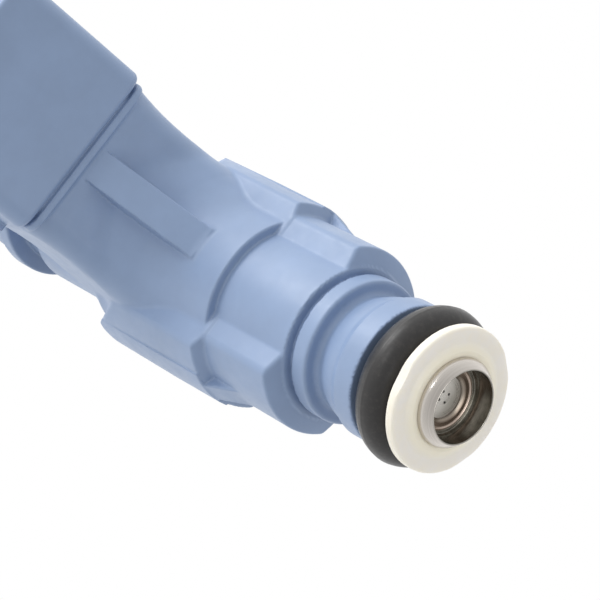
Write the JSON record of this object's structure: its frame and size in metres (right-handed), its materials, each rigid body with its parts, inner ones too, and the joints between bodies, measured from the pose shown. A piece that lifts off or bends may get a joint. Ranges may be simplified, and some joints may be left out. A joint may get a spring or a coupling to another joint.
{
  "type": "fuel injector",
  "caption": "Top-feed port fuel injector: plastic body moulded round a solenoid valve, leaning plug socket, an O-ring at each end and a spray tip.",
  "frame": {"origin": "on the injector's axis, at the rim of the spray tip's recess", "axes": "+Z along the axis from the spray tip to the fuel inlet, -Y towards the side that the connector leans out on, +X completes it"},
  "size_m": [0.0198, 0.0396, 0.0703],
  "materials": {
    "body_plastic": "moulded satin",
    "nose_steel": "fine turned",
    "seat_steel": "ground",
    "tinted_steel": "heat tinted by welding",
    "plate_steel": "etched satin",
    "ball_steel": "polished",
    "magnetic_steel": "turned",
    "spring_steel": "drawn wire",
    "bobbin_plastic": "moulded",
    "copper_wire": "enamelled winding",
    "tinned_brass": "tin plated",
    "filter_plastic": "moulded",
    "mesh_nylon": "woven",
    "filter_brass": "turned",
    "seal_rubber": "matte",
    "support_plastic": "moulded",
    "washer_plastic": "slightly translucent"
  },
  "bodies": {
    "housing": {"overmold_body": "body_plastic", "valve_body": "nose_steel", "valve_seat": "seat_steel", "spray_disc_ring": "tinted_steel", "orifice_plate": "plate_steel", "ball_guide": "seat_steel", "return_spring": "spring_steel", "adjusting_sleeve": "seat_steel", "inlet_tube": "magnetic_steel", "nonmagnetic_sleeve": "seat_steel", "solenoid_shell": "magnetic_steel", "yoke_washer": "magnetic_steel", "coil_bobbin": "bobbin_plastic", "coil_winding": "copper_wire", "terminal_left": "tinned_brass", "terminal_right": "tinned_brass", "filter_frame": "filter_plastic", "filter_mesh": "mesh_nylon", "filter_ring": "filter_brass", "upper_o_ring": "seal_rubber", "upper_support_ring": "support_plastic", "lower_o_ring": "seal_rubber", "retainer_washer": "washer_plastic"},
    "needle": {"armature": "magnetic_steel", "needle_tube": "seat_steel", "valve_ball": "ball_steel"}
  },
  "joints": [
    {"name": "needle_lift", "type": "slide", "parent": "housing", "child": "needle", "axis": [0, 0, 1], "range_m": [0, 0.00008], "stiffness_N_per_m": 500, "deforming": ["return_spring"]}
  ]
}
